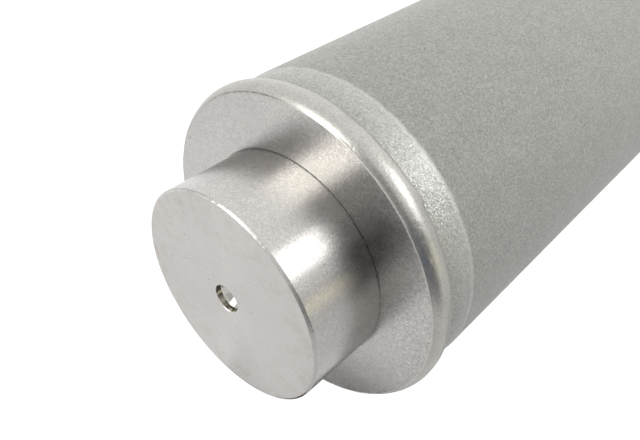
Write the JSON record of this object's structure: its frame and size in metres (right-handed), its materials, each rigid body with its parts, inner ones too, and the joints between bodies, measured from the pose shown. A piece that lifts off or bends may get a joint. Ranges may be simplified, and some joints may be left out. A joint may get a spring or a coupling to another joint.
{
  "type": "sintered filter element",
  "caption": "Cylindrical filter cartridge: a porous sintered metal tube, closed by a welded end cap with a solid locating spigot, and open at a welded outlet ring with a plain bore.",
  "frame": {"origin": "centre of the outlet face, on the axis of the tube, where the element stands", "axes": "+Z along the axis of the tube, from the outlet towards the end of the spigot"},
  "size_m": [0.062, 0.062, 0.2499],
  "materials": {
    "sintered_steel": "matt and granular, as sintered from powder",
    "turned_steel": "satin, fine turned",
    "weld_steel": "smooth and bright, as welded and brushed"
  },
  "bodies": {
    "root": {"porous_tube": "sintered_steel", "end_cap": "turned_steel", "end_weld": "weld_steel", "outlet_ring": "turned_steel", "outlet_weld": "weld_steel"}
  },
  "joints": []
}
